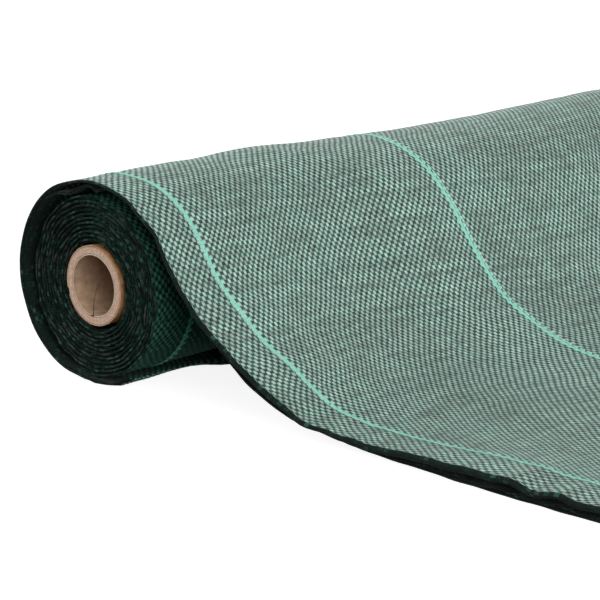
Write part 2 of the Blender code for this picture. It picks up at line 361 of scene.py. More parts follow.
    # Painted shade: a warp float darker where it dips under, lighter at its crown
    paintedCrownLight = add("Math", [height, 0.0], operation="MAXIMUM")
    paintedCrownLight = add("Math", [paintedCrownLight, look["paintedCrownLight"], look["paintedHollowShade"]], operation="MULTIPLY_ADD")
    light = add("Math", [light, wornLight], operation="MULTIPLY")
    light = add("Math", [light, paintedCrownLight], operation="MULTIPLY")
    warp = add("Mix", [1.0, warp, light], **multiplied)

    # Dark floats of the weft, darker still in the lower plies and the roll as painted shade, and painted
    # shade in the gaps between the tapes
    weft = add("Mix", [paintedLitPlies, look["paintedShadeWeft"], look["weft"]], **colours)
    weftLight = add("Math", [floatTone, look["weftTone"], look["weftLight"]], operation="MULTIPLY_ADD")
    weft = add("Mix", [1.0, weft, weftLight], **multiplied)
    inner, outer = weave["gapEdge"]
    gap = add("MapRange", [inWeft, weave["weftWidth"] / 2 - inner, weave["weftWidth"] / 2 + outer])
    weft = add("Mix", [gap, weft, look["gap"]], **colours)
    cloth = add("Mix", [warpShows, weft, warp], **colours)

    # Painted shade on the tapes by the selvedges and inside the near fold, with a few painted green glints
    fromSelvedge = add("Math", [2 * clothWidth, fromMiddle], operation="SUBTRACT")
    nearSelvedge = add("Math", [fromSelvedge, look["edgeReach"]], operation="LESS_THAN")
    pastCrest = add("Math", [fromFold, look["foldEdge"]], operation="GREATER_THAN")
    nearFold = add("Math", [fromFold, look["edgeReach"]], operation="LESS_THAN")
    nearFold = add("Math", [pastCrest, nearFold], operation="MULTIPLY")
    nearEdge = add("Math", [nearFold, nearSelvedge], operation="MAXIMUM")
    # Painted highlights: green glints on some floats, fewer outside the clusters on the paid-out cloth
    clusters = add("TexNoise", {"Vector": place, "Scale": 1 / look["clusterSize"], "Detail": 2.0})
    cluster = add("MapRange", [clusters, *look["clusterFrom"]])
    leastGlint, mostGlint = look["glintLight"]
    lacking = look["clusterLight"] * paintedLitShare
    brightest = add("Math", [cluster, lacking, mostGlint - lacking], operation="MULTIPLY_ADD")
    glint = add("MapRange", [floatTone, *look["glintFrom"], leastGlint, brightest])
    shadedEdgeWarp = add("Mix", [1.0, look["shadedEdgeWarp"], glint], **multiplied)
    edge = add("Mix", [warpShows, look["shadedEdgeWeft"], shadedEdgeWarp], **colours)
    # Painted grey highlights on the tips of the folds at the roll's end, in places
    tip = add("Math", [fromFold, look["tipMiddle"]], operation="SUBTRACT")
    tip = add("Math", [tip], operation="ABSOLUTE")
    tip = add("Math", [tip, look["tipReach"]], operation="LESS_THAN")
    tipHighlightNoise = add("TexNoise", {"Vector": place, "Scale": 1 / look["tipHighlightSize"], "Detail": 3.0})
    paintedTipHighlight = add("MapRange", [tipHighlightNoise, *look["tipHighlightFrom"], 0.0, look["tipHighlightMost"] * (1 - paintedLitShare)])
    paintedTipHighlight = add("Math", [tip, paintedTipHighlight], operation="MULTIPLY")
    edge = add("Mix", [paintedTipHighlight, edge, look["paintedTipHighlight"]], **colours)
    cloth = add("Mix", [nearEdge, cloth, edge], **colours)

    fibrilPlace = add("VectorMath", [woven, look["fibrilSize"]], operation="DIVIDE")
    fibril = add("TexNoise", {"Vector": fibrilPlace, "Scale": 1.0, "Detail": 1.0})
    relief = add("Math", [fibril, look["fibrilDepth"], height], operation="MULTIPLY_ADD")
    bump = add("Bump", {"Strength": weave["bumpStrength"], "Distance": weave["relief"] * mm,
                        "Height": relief})
    rough = add("Mix", [warpShows, look["weftRoughness"], look["warpRoughness"]])
    rough = add("Mix", [paintedLitPlies, look["insideRoughness"], rough])
    rough = add("Mix", [nearEdge, rough, look["edgeRoughness"]])
    shader = add("BsdfPrincipled", {
        "Base Color": cloth,
        "Roughness": rough,
        "Normal": bump,
        "IOR": look["ior"],
        "Specular IOR Level": specular,
        "Sheen Weight": look["haze"] * paintedLitShare,
        "Sheen Roughness": look["hazeRoughness"],
    })
    add("OutputMaterial", {"Surface": shader})
    return material


yarnLook = {
    "film": "#A9E2D3",
    "filmDeep": "#86CDBB",
    "paintedShadeFilm": "#2FA78C",     # painted shade: darker and deeper in the roll
    "paintedShadeFilmDeep": "#1F8570",
    "fibrilSize": (1 / 3, 10 / 3, 1.0),     # splits along the film, in mm
    "fibrilFrom": (0.35, 0.65),
    "relief": 0.1,
    "bumpStrength": 0.5,
    "roughness": 0.42,
}


# Pigmented polypropylene slit film of the guide yarns. To the eye: a continuous aqua line
# with stepped edges, a little deeper along its splits.
def guideTapeFilm(name, film, deepFilm):
    material = bpy.data.materials.new(name)
    add = startNodes(material)
    place = add("UVMap", uv_map="flatCloth")
    place = add("VectorMath", [place, yarnLook["fibrilSize"]], operation="DIVIDE")
    fibril = add("TexNoise", {"Vector": place, "Scale": 1.0, "Detail": 3.0})
    share = add("MapRange", [fibril, *yarnLook["fibrilFrom"]])
    shader = add("BsdfPrincipled", {
        "Base Color": add("Mix", [share, deepFilm, film], **colours),
        "Roughness": yarnLook["roughness"],
        "Normal": add("Bump", {"Strength": yarnLook["bumpStrength"], "Distance": yarnLook["relief"] * mm,
                               "Height": fibril}),
        "IOR": clothLook["ior"],
        "Specular IOR Level": clothLook["specular"],
    })
    add("OutputMaterial", {"Surface": shader})
    return material


# Colours of each board piece: its sawn end and its wall, each with a darker mottle
boards = {
    "core_body": {
        "material": "spiralWoundKraftBoard",
        "end": "#CDB1A1",       # pinkish kraft, where the saw opened the plies
        "endDark": "#AB8B76",
        "wall": "#6B5340",      # seen only behind the butt seams, darker as painted shade in them
        "wallDark": "#57422F",
    },
    "core_outer_ply": {
        "material": "orangeKraftCoverPly",
        "end": "#C9A98C",
        "endDark": "#A88463",
        "wall": "#B98657",      # orange brown
        "wallDark": "#93673F",
    },
    "core_inner_ply": {
        "material": "greyKraftLinerPly",
        "end": "#DCCAB4",       # cream rim of the bore
        "endDark": "#C3AB92",
        "wall": "#B6997F",      # grey brown
        "wallDark": "#987C63",
    },
}

boardGrain = {
    "fibreSize": 10 / 9,        # cut fibres, in mm
    "fibreFrom": (0.36, 0.64),
    "blotchSize": 6.25,         # soft mottle of the paper, in mm
    "blotchFrom": (0.35, 0.65),
    "endFacing": (0.5, 0.8),    # how squarely along the roll the sawn end faces
    "relief": 0.25,
    "bumpStrength": 0.6,
    "roughness": 0.85,
    "specular": 0.3,
}


# Spiral wound kraft paperboard, sawn square. To the eye: a matt pinkish ring mottled by cut
# fibres and specks, a cream inner rim, an orange brown outer wall and a smooth grey brown bore.
def kraftBoard(look):
    material = bpy.data.materials.new(look["material"])
    add = startNodes(material)
    place = add("VectorMath", [add("TexCoord").outputs["Object"], 1 / mm], operation="SCALE")
    fibres = add("TexNoise", {"Vector": place, "Scale": 1 / boardGrain["fibreSize"], "Detail": 4.0,
                              "Roughness": 0.65})
    blotch = add("TexNoise", {"Vector": place, "Scale": 1 / boardGrain["blotchSize"], "Detail": 2.0})
    facing = add("SeparateXYZ", [add("NewGeometry").outputs["Normal"]])
    facing = add("Math", [facing], operation="ABSOLUTE")
    isEnd = add("MapRange", [facing, *boardGrain["endFacing"]])
    mottle = add("MapRange", [fibres, *boardGrain["fibreFrom"]])
    softMottle = add("MapRange", [blotch, *boardGrain["blotchFrom"]])
    end = add("Mix", [mottle, look["endDark"], look["end"]], **colours)
    wall = add("Mix", [softMottle, look["wallDark"], look["wall"]], **colours)
    shader = add("BsdfPrincipled", {
        "Base Color": add("Mix", [isEnd, wall, end], **colours),
        "Roughness": boardGrain["roughness"],
        "Normal": add("Bump", {"Strength": boardGrain["bumpStrength"], "Distance": boardGrain["relief"] * mm,
                               "Height": fibres}),
        "Specular IOR Level": boardGrain["specular"],
    })
    add("OutputMaterial", {"Surface": shader})
    return material


clothMaterial = wovenTapeCloth("wovenPolypropyleneSlitFilm", 1.0, clothLook["specular"])
# The wound cloth has the darker copies of its colours throughout, as painted shade
woundMaterial = wovenTapeCloth("wovenPolypropylenePaintedShade", 0.0, clothLook["woundSpecular"])
yarnMaterial = guideTapeFilm("aquaPolypropyleneSlitFilm", yarnLook["film"], yarnLook["filmDeep"])
# The wound yarns have a darker copy of the film, as painted shade
woundYarnMaterial = guideTapeFilm("aquaPolypropylenePaintedShade", yarnLook["paintedShadeFilm"],
                                  yarnLook["paintedShadeFilmDeep"])
print("materials made")


# The cloth is folded lengthwise into four plies, counted from the lowest, 0, to the top, 3.
# From here on c is the distance across the folded cloth from its near rim, and s the distance
# along it.
ply = {
    "count": 4,
    "thickness": 0.45,
    "lapGap": 0.35,             # between plies round the roll
    "laidGap": 1.0,             # between plies on the floor
    "innerFoldInset": 1.2,      # how much further in the inner fold lies at the far side
}
yarnCount = sum(name.startswith("laid_guide_yarn") for name in nodes)
yarnPlaces = [weave["firstYarn"] + weave["yarnTapes"] * weave["tapePitch"] * k for k in range(yarnCount)]


# One line through all the plies: lowest, outer fold, top, near fold, third, inner fold, second.
# plyAt(k, c) gives x and height of ply k, and points how many each fold gets. It returns (x,
# height) rows, and each point's place on the flat cloth and distance across the folded cloth.
def foldedSection(plyAt, farFold, topRun, lowerRuns, points, noseCloth):
    lines, flats, reach = [], [], []

    def addRun(k, run, flat):
        lines.append(np.stack(np.broadcast_arrays(*plyAt(k, run[None, :])), axis=2))
        flats.append(flat)
        reach.append(run)

    # Half round from one ply to the next, bulging to the far side, 1, or the near one, -1
    def addFold(x, start, end, count, side, flat, c):
        angle = np.linspace(-90, 90, count + 2)[1:-1] * math.pi / 180
        middle, radius = (start + end) / 2, (end - start) / 2
        x = x + side * np.abs(radius) * np.cos(angle)
        lines.append(np.stack(np.broadcast_arrays(x, middle + radius * np.sin(angle)), axis=2))
        flats.append(flat + 0 * angle)
        reach.append(c + 0 * angle)

    outer, near, inner = points
    nearRim, topFar, lowerFar = (np.array([[c]]) for c in (0.0, topRun[-1], lowerRuns[-1]))
    crestX, crest = plyAt(3, nearRim)
    low, second, third = (plyAt(k, lowerFar)[1] for k in (0, 1, 2))
    addRun(0, lowerRuns, 2 * clothWidth - lowerRuns)
    addFold(farFold, low, plyAt(3, topFar)[1], outer, 1, clothWidth, clothWidth)
    addRun(3, topRun[::-1], topRun[::-1])
    addFold(crestX, crest, plyAt(2, nearRim)[1], near, -1, np.linspace(0, -noseCloth, near + 2)[1:-1], 0)
    addRun(2, lowerRuns, -noseCloth - lowerRuns)
    addFold(farFold - ply["innerFoldInset"], third, second, inner, 1, -clothWidth, clothWidth)
    addRun(1, lowerRuns[::-1], lowerRuns[::-1] - 2 * clothWidth)
    return np.concatenate(lines, axis=1), np.concatenate(flats), np.concatenate(reach)


# Paid-out cloth: laid flat, rising to the top of the roll, and slack round its back
paidOut = {
    # Path of the stack's under side
    "touchDown": 240.0,         # from under the core's axis to where the cloth meets the floor
    "topHandleShare": 0.40,     # how long the fall leaves the roll level, and lands level
    "floorHandleShare": 0.73,
    "foot": 16.0,               # flat of the lap under the roll
    "footRise": 0.3,            # height of the lap's end
    "footReach": 10.0,          # how far it runs on past the flat of the foot
    "pathSteps": (60, 200, 160, 14),    # laid, falling, round the back and at the foot
    # Stations along it and points across it
    "station": 4.15,
    "closeStations": (-66, -38),        # Y where the rim kinks on the roll's front shoulder
    "nearPoints": [0, 1.5, 3.5, 6, 9, 13, 18, 24, 31, 40, 50, 62],
    "topPoints": (72, 8, 9.4),  # further in: first one, space left at the far side, and step
    "lowerPoints": (80, 20, 31.0),
    "foldPoints": (7, 5, 5),    # outer, near and inner fold
    # How far the lap's near edge draws in by its end, as (distance past the foot, shift) points
    "footDraw": [(-100, 0), (-75, 0.6), (-44, 1.4), (-29, 1.0), (-18, 2.0), (-8, 2.8), (0, 4.4), (6, 7.0),
                 (10, 9.5)],
    # How much further the lap's end runs, as (distance across the cloth, reach) points
    "tail": [(0, 0), (62, 0), (71, 1.5), (79, 7.5), (86, 15), (92, 17), (300, 15), (700, 3), (1000, 0)],
    # Near rim of the lap, as (degrees back from the top, radius beyond the plain lap's) points
    "lapBulge": [(-6, 0), (3, -0.7), (15, -1.2), (28, -0.7), (45, -0.8), (64, -0.8), (80, -0.1), (92, 0.1),
                 (101, 0.4), (115, 0.6), (129, 1.5), (143, 1.5), (156, 0.3), (168, -0.9), (180, -0.9)],
    # Slack selvedges under the lap, as (degrees back from the top, sag) points
    "slack": [(-16, 0), (-9, 4.2), (-4, 1.8), (1, 1.3), (7, 2.6), (12, 4.5), (18, 5.0), (25, 3.4), (31, 0.9),
              (45, 0.0)],
    "upperSlackShare": 0.92,
    # Near rim, as (place along Y, size) points: how far in the crest of the fold lies and how
    # high it stands, and how far in the two selvedges lie
    "crestX": [(-500, 10), (-430, 8), (-360, 10), (-300, 9), (-265, 9.5), (-235, 10.5), (-215, 9.4),
               (-203, 10.3), (-192, 8), (-181, 5.8), (-168, 4.8), (-159, 4.6), (-151, 2.6), (-143, 3.5),
               (-128, 2), (-113, 2.2), (-105, 0), (-95, -1.5), (-83, -3.2), (-72, -2.6), (-65, -1.8),
               (-59, 0.4), (-52, -0.8), (-46, -1.3), (-40, 0), (70, 0)],
    "crestLift": [(-500, 3.8), (-470, 4.8), (-440, 3.4), (-410, 4.6), (-385, 3.0), (-360, 4.1), (-345, 3.6),
                  (-335, 4.8), (-320, 3.0), (-306, 5.4), (-290, 4.4), (-270, 3.7), (-250, 3.3), (-235, 2.7),
                  (-215, 1.5), (-200, 0.7), (-187, 0.8), (-178, 0), (-168, 0.3), (-159, 1.9), (-145, 3.6),
                  (-120, 3.0), (-100, 1.2), (-60, 0.6), (-20, 0.2), (70, 0.2)],
    "lowSelvedge": [(-500, 12), (-360, 13.8), (-320, 13.2), (-287, 13.5), (-268, 14.2), (-249, 15.5),
                    (-236, 16.2), (-218, 15.4), (-203, 15.2), (-185, 12.7), (-171, 10.8), (-160, 8.0),
                    (-140, 6.5), (-120, 5), (-100, 4.5), (70, 1.5)],
    "upperSelvedge": [(-500, 13), (-400, 11.5), (-340, 13), (-300, 12), (-240, 15.5), (-200, 12), (-160, 7.5),
                      (-140, 5.5), (-100, 3.5), (70, 2.2)],
    "rimReach": 60.0,           # how far in the rim's own heights reach
    "secondLift": 0.2,
    "noseRoom": 1.4,            # kept between the fold's nose and the plies below, in thicknesses
    "noseSize": (0.72, 2.7),    # least and largest height of the nose
    "noseCloth": 3.0,           # how much cloth it takes
    # Small waves of the rim along s, as (wavelength, height, phase in turns)
    "crestLiftWaves": ((27, 0.25, 0.3), (17, 0.12, 0.8)),
    "secondLiftWaves": ((38, 0.35, 0.0), (23, 0.2, 0.4)),
    "crestWaves": ((31, 0.5, 0.1), (19, 0.3, 0.6)),
    "crestWavesRound": 0.15,    # what is left of them round the roll
    "lowSelvedgeWaves": ((35, 0.3, 0.2), (21, 0.2, 0.9)),
    "upperSelvedgeWaves": ((29, 0.5, 0.5), (18, 0.3, 0.2)),
    # Sideways drift of the first and second guide yarn, as (place along Y, shift) points
    "firstDrift": [(-500, 12), (-315, 12), (-285, 11.5), (-260, 8.6), (-238, 8.3), (-218, 8.9), (-190, 5.8),
                   (-157, 4.2), (-135, 6.8), (-113, 1.6), (-100, 0.4), (-82, -4.2), (-65, -1.8), (-55, 0),
                   (-30, 0.8), (0, -0.5), (70, -0.5)],
    "secondDrift": [(-500, -24), (-245, -24), (-203, -20.7), (-168, -15.1), (-150, -12.3), (-135, -11.5),
                    (-120, -8.9), (-106, -5.7), (-82, -1.1), (-60, 0.5), (-36, -0.8), (-20, -0.4), (-3, 2.6),
                    (6, 2.9), (20, 0.8), (70, 0)],
    # Where the warp tapes crowd or part, as (distance across the cloth, sideways shift) points
    "spread": [(0, 0), (31, 0), (45, -1), (130, -11), (152, -11), (228, -3), (260, 0), (560, 20), (1000, 0)],
    # Picks fan out away from the near edge: their pitch there, and their slant at the roll's top
    "fanFrom": 90.0,
    "fanReach": 300.0,
    "fanWidening": 0.15,
    "fanSlant": 0.01,
    # Height over the roll's top, as (distance from the near end, lift) points
    "crown": [(0, -0.3), (30, -0.4), (67, 0.1), (96, 0.5), (110, 0), (126, 0.2), (141, 1.4), (157, 2.0),
              (180, 1.3), (196, 0.1), (230, -1.2), (278, -2.25), (320, -2.6), (374, -2.25), (425, -0.6),
              (479, 0.8), (535, 2.9), (564, 2.7), (640, 0.4), (720, -1.2), (800, 1.4), (880, 0.6),
              (950, -0.8), (1000, 0)],
    "crownReach": 75.0,
    # Broad waves, as (share of c, share of s, wavelength, height, phase in turns), and where they
    # are: below the top in mm, and back from it in degrees, from, to and fading over
    "fallWaves": ((1, 0.3, 173, 0.8, 0.1), (1, 0.3, 97, 0.35, 0.6)),
    "fallWavesAt": (20, 190, 60),
    "backWaves": ((1, 0, 211, 0.6, 0.4), (1, 0, 123, 0.4, 0.15)),
    "backWavesAt": (15, 120, 40),
    # Waves of the upper plies on the floor, over the lowest one, which lies flat
    "laidWaves": ((1, 0.35, 187, 0.55, 0.0), (1, 0.35, 121, 0.35, 0.3), (-0.2, 1, 143, 0.5, 0.7)),
    "laidLift": 0.9,
    "laidFrom": (170, 80),      # below the top, and fading in over
    "fineWaves": ((0.8, 1, 41, 0.12, 0.2), (0.8, 1, 29, 0.09, 0.5), (-0.5, 1, 53, 0.14, 0.1)),
    "fineReach": 30,
}

lapThickness = ply["count"] * ply["thickness"] + (ply["count"] - 1) * ply["lapGap"]
lapRadius = clothHigh.y - lapThickness
lapCentre = lapThickness + lapRadius


# Rows of y, z, the way out (y, z) and how loose the plies lie, 1 on the floor and 0 round the roll
def paidOutPath():
    laidSteps, fallSteps, backSteps, footSteps = paidOut["pathSteps"]
    touchDown, foot, footReach = (paidOut[key] for key in ("touchDown", "foot", "footReach"))
    y = np.linspace(clothLow.y, -touchDown, laidSteps, endpoint=False)
    rows = [np.stack((y, 0 * y, 0 * y, 0 * y + 1, 0 * y + 1), axis=1)]
    landing = np.array((-touchDown, 0.0))
    top = np.array((0.0, lapCentre + lapRadius))
    floorHandle = landing + (paidOut["floorHandleShare"] * touchDown, 0)
    topHandle = top - (paidOut["topHandleShare"] * touchDown, 0)
    t = np.linspace(0, 1, fallSteps, endpoint=False)[:, None]
    s = 1 - t
    place = s ** 3 * landing + 3 * s * s * t * floorHandle + 3 * s * t * t * topHandle + t ** 3 * top
    way = s * s * (floorHandle - landing) + 2 * s * t * (topHandle - floorHandle) + t * t * (top - topHandle)
    way /= np.linalg.norm(way, axis=1)[:, None]
    rows.append(np.concatenate((place, -way[:, 1:], way[:, :1], s), axis=1))
    angle = np.linspace(0, math.pi - math.asin(foot / 2 / lapRadius), backSteps)
    out = np.stack((np.sin(angle), np.cos(angle)), axis=1)
    rows.append(np.concatenate((out * lapRadius + (0, lapCentre), out, 0 * out[:, :1]), axis=1))
    y = np.linspace(foot / 2, -foot / 2 - footReach, footSteps)[1:]
    past = np.clip((-foot / 2 - y) / footReach, 0, 1)
    z = lapThickness + paidOut["footRise"] * past ** 2
    tilt = 2 * paidOut["footRise"] * past / footReach
    rows.append(np.stack((y, z, -np.sin(tilt), -np.cos(tilt), 0 * y), axis=1))
    return np.concatenate(rows)


pathTable = paidOutPath()
pathLength = np.concatenate(([0.0], np.cumsum(np.linalg.norm(np.diff(pathTable[:, :2], axis=0), axis=1))))
footDistance = pathLength[-1] - paidOut["footReach"]
topDistance = float(pathLength[sum(paidOut["pathSteps"][:2]) - 1])      # last step up the fall


# Everything the plies need to know at distances s along the path
def stationsAt(s):
    y, z, outY, outZ, loose = (np.interp(s, pathLength, column) for column in pathTable.T)
    size = np.hypot(outY, outZ)
    back = np.degrees(np.arctan2(y, z - lapCentre))      # degrees back from the roll's top
    return {"s": s, "y": y, "z": z, "outY": outY / size, "outZ": outZ / size, "loose": loose, "back": back}


# Rise and fall of the whole stack: waves over the roll's top, softer ones down its front and back
def stackWave(c, stations):
    s, back = stations["s"], stations["back"]
    overTop = 1 - smoothStep(np.abs(s - topDistance) / paidOut["crownReach"])
    crown = curveThrough(paidOut["crown"], c) * overTop
    fall = between(topDistance - s, *paidOut["fallWavesAt"]) * slantedRipple(c, s, paidOut["fallWaves"])
    return crown + fall + between(back, *paidOut["backWavesAt"]) * slantedRipple(c, s, paidOut["backWaves"])


def laidWave(c, stations):
    s = stations["s"]
    first, fade = paidOut["laidFrom"]
    down = smoothStep((topDistance - s - first) / fade)
    broad = slantedRipple(c, s, paidOut["laidWaves"]) + paidOut["laidLift"]
    return down * broad + slantedRipple(c, s, paidOut["fineWaves"]) * smoothStep(c / paidOut["fineReach"])


# Heights of the four plies inside and at the rim, and the size of the near fold's nose
def rimHeights(stations):
    t, s, y, loose = ply["thickness"], stations["s"], stations["y"], stations["loose"]
    gap = ply["lapGap"] + (ply["laidGap"] - ply["lapGap"]) * loose
    inside = [t / 2 + k * (t + gap) for k in range(ply["count"])]
    top = inside[3] + curveThrough(paidOut["crestLift"], y) + ripple(s, paidOut["crestLiftWaves"]) * loose
    second = inside[1] + (ripple(s, paidOut["secondLiftWaves"]) + paidOut["secondLift"]) * loose
    nose = np.clip(top - second - paidOut["noseRoom"] * t, *paidOut["noseSize"])
    sag = curveThrough(paidOut["slack"], stations["back"])
    return inside, [inside[0] - sag, second - paidOut["upperSlackShare"] * sag, top - nose, top], nose


# Place of ply k at distance c from the near rim: x and height above the under side
def plyPlace(k, c, stations):
    s, y, loose = stations["s"], stations["y"], stations["loose"]
    inside, rims, nose = rimHeights(stations)
    if k == 0:
        start = curveThrough(paidOut["lowSelvedge"], y) + ripple(s, paidOut["lowSelvedgeWaves"])
    elif k == 1:
        start = curveThrough(paidOut["upperSelvedge"], y) + ripple(s, paidOut["upperSelvedgeWaves"])
    else:
        waver = ripple(s, paidOut["crestWaves"]) * (paidOut["crestWavesRound"] + loose)
        draw = curveThrough(paidOut["footDraw"], s - footDistance)
        start = curveThrough(paidOut["crestX"], y) + waver + draw + nose / 2
    yarn1, yarn2 = yarnPlaces
    x1 = yarn1 + curveThrough(paidOut["firstDrift"], y)
    x2 = yarn2 + curveThrough(paidOut["secondDrift"], y)
    near = start + (x1 - start) * c / yarn1
    middle = x1 + (x2 - x1) * (c - yarn1) / (yarn2 - yarn1)
    far = x2 + (c - yarn2) * (clothWidth - x2) / (clothWidth - yarn2)
    x = np.where(c < yarn1, near, np.where(c < yarn2, middle, far)) + curveThrough(paidOut["spread"], c)
    bulge = curveThrough(paidOut["lapBulge"], stations["back"])
    bulge = bulge * (1 - smoothStep((s - footDistance) / paidOut["footReach"]))
    height = inside[k] + (rims[k] - inside[k] + bulge) * (1 - smoothStep(c / paidOut["rimReach"]))
    return nearX + x, height + stackWave(c, stations) + laidWave(c, stations) * k / (ply["count"] - 1)


# Distance along the cloth at which the pick through this place crosses the near edge
def pickPlace(c, s):
    widening = 1 + paidOut["fanWidening"] * smoothStep((c - paidOut["fanFrom"]) / paidOut["fanReach"])
    return topDistance + (s - topDistance) / widening + paidOut["fanSlant"] * c


# From (x, height) above the path to points in space
def onPath(lines, stations):
    x, height = lines[:, :, 0], lines[:, :, 1]
    rows = asColumns(stations)
    past = np.clip((rows["s"] - footDistance) / paidOut["footReach"], 0, 1)
    y = rows["y"] + height * rows["outY"] - past * curveThrough(paidOut["tail"], x - nearX)
    return np.stack((x, y, rows["z"] + height * rows["outZ"]), axis=2)


def pointsAcross(nearPoints, first, spare, step):
    return np.concatenate((nearPoints, np.arange(first, clothWidth - spare, step)))


def makePaidOutCloth():
    even = np.linspace(0, pathLength[-1], round(pathLength[-1] / paidOut["station"]))
    halfway = stationsAt((even[:-1] + even[1:]) / 2)
    low, high = paidOut["closeStations"]
    close = (halfway["y"] > low) & (halfway["y"] < high) & (halfway["back"] < 0)
    stations = stationsAt(np.sort(np.concatenate((even, halfway["s"][close]))))
    rows = asColumns(stations)
    topRun = pointsAcross(paidOut["nearPoints"], *paidOut["topPoints"])
    lowerRuns = pointsAcross(paidOut["nearPoints"][::2], *paidOut["lowerPoints"])
    stack = plyPlace(3, topRun[-1:], rows)[1] - plyPlace(0, lowerRuns[-1:], rows)[1]
    lines, flat, reach = foldedSection(lambda k, c: plyPlace(k, c, rows), nearX + clothWidth - stack / 2,
                                       topRun, lowerRuns, paidOut["foldPoints"], paidOut["noseCloth"])
    faces = [onPath(face, stations) for face in thickenLines(lines, ply["thickness"])]
    flatPlace = np.stack(np.broadcast_arrays(flat[None, :], pickPlace(reach[None, :], rows["s"])), axis=2)
    piece = bandMesh("paidOutCloth", [(*faces, flatPlace)], clothMaterial)
    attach(piece, "laid_length")
    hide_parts("paid_out_cloth")
    print("paid-out cloth:", len(stations["s"]), "stations,", lines.shape[1], "points across")
    return piece


paidOutCloth = makePaidOutCloth()


# Wound cloth
winding = {
    "turns": 11,
    "turnStations": 60,
    "outerRadius": 56.7,
    "thickness": 2.1,           # of the four plies
    "turnGap": 0.55,
    "edgeInset": 5.0,           # how far in the turns end, and how much further by the core
    "dish": 1.6,
    "outerEndShare": -0.04,     # turns from the roll's foot to its outer end, here towards the back
    "across": [0, 0.6, 1.6, 3.2, 6, 11, 20, 34, 55, 120, 320, 560, 800, 920, 975],
    "foldPoints": (5, 5, 3),    # outer, near and inner fold
    "farInset": 1.0,
    "noseCloth": 1.2,           # how much cloth the near fold takes
    "noseGap": 0.28,            # between the two plies in it
    "selvedgeInsets": (1.8, 1.5),
    "rimLifts": (-0.02, -0.06, 0.04),   # of the two selvedges and the crest
    "rimReach": 8.0,
    # Waves of the rims, as (wavelength, height, phase in turns)
    "crestWaves": ((31, 0.55, 0.1), (17.3, 0.4, 0.7), (9.1, 0.3, 0.2)),
    "upperSelvedgeWaves": ((27, 0.8, 0.6), (13.7, 0.5, 0.1), (7.3, 0.35, 0.4)),
    "lowSelvedgeWaves": ((23, 0.8, 0.3), (11.9, 0.5, 0.8), (6.7, 0.3, 0.0)),
    "noseWaves": ((19, 0.1, 0.2), (11, 0.06, 0.5)),
    # How far the turns waver at the roll's end, and from where to where that fades further in.
    # Each wave is (waves a turn, radius for a radian, phase in radians, height).
    "wobble": 0.34,
    "wobbleFrom": 10.0,
    "wobbleReach": 45.0,
    "wobbles": ((5, 3.6, 0.0, 0.5), (9, -5.1, 1.0, 0.35), (17, 4.4, 2.0, 0.25), (26, -6.0, 0.0, 0.15)),
}

axisHeight = (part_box("core_body")[0].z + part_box("core_body")[1].z) / 2 / mm
turnPitch = winding["thickness"] + winding["turnGap"]


# The spiral after a number of turns, from its outer end
def turnsAt(wound):
    angle = 2 * np.pi * (wound + winding["outerEndShare"])
    outer = winding["outerRadius"] - turnPitch * wound
    length = 2 * np.pi * (winding["outerRadius"] * wound - turnPitch * wound * wound / 2)
    return {"wound": wound, "angle": angle, "inner": outer - winding["thickness"], "length": length}


# X at which the turns end, drawn in towards the core like a dish
def turnEdge(turns):
    return nearX + winding["edgeInset"] + winding["dish"] * turns["wound"] / winding["turns"]


# Place of ply k of the wound cloth: x and height above the turn's inner side
def woundPlace(k, c, turns):
    s, t, edge = turns["length"], ply["thickness"], turnEdge(turns)
    gap = (winding["thickness"] - ply["count"] * t) / (ply["count"] - 1)
    noseGap = winding["noseGap"] + ripple(s, winding["noseWaves"])
    low, upper = winding["selvedgeInsets"]
    lowLift, upperLift, crestLift = winding["rimLifts"]
    heights = [t / 2 + n * (t + gap) for n in range(ply["count"])]
    rims = (heights[0] + lowLift, heights[1] + upperLift, heights[3] - t - noseGap, heights[3] + crestLift)
    crest = edge + ripple(s, winding["crestWaves"]) + (t + noseGap) / 2
    starts = (edge + low + ripple(s, winding["lowSelvedgeWaves"]),
              edge + upper + ripple(s, winding["upperSelvedgeWaves"]), crest, crest)
    rimShare = 1 - smoothStep(c / winding["rimReach"])
    return starts[k] + c, heights[k] + (rims[k] - heights[k]) * rimShare + 0 * s


# From (x, height) over the turn's inner side to points in space
def roundCore(lines, turns):
    x, rows = lines[:, :, 0], asColumns(turns)
    radius = rows["inner"] + lines[:, :, 1]
    waver = sum(height * np.sin(waves * rows["angle"] + radius / length + phase)
                for waves, length, phase, height in winding["wobbles"])
    fade = 1 - smoothStep((x - nearX - winding["wobbleFrom"]) / winding["wobbleReach"])
    radius = radius + winding["wobble"] * waver * fade
    return np.stack((x, -radius * np.sin(rows["angle"]), axisHeight - radius * np.cos(rows["angle"])), axis=2)


def makeWoundCloth():
    turns = turnsAt(np.linspace(0, winding["turns"], winding["turns"] * winding["turnStations"] + 1))
    rows = asColumns(turns)
    across = np.array(winding["across"])
    farFold = turnEdge(rows) + clothWidth - winding["farInset"]
    lines, flat, _ = foldedSection(lambda k, c: woundPlace(k, c, rows), farFold, across, across,
                                   winding["foldPoints"], winding["noseCloth"])
    faces = [roundCore(face, turns) for face in thickenLines(lines, ply["thickness"])]
    flatPlace = np.stack(np.broadcast_arrays(flat[None, :], rows["length"]), axis=2)
    piece = bandMesh("woundCloth", [(*faces, flatPlace)], woundMaterial)
    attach(piece, "roll")
    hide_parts("wound_cloth")
    print("wound cloth:", len(turns["wound"]), "stations,", lines.shape[1], "points across")
    return piece, float(turns["length"][-1])


woundCloth, woundLength = makeWoundCloth()


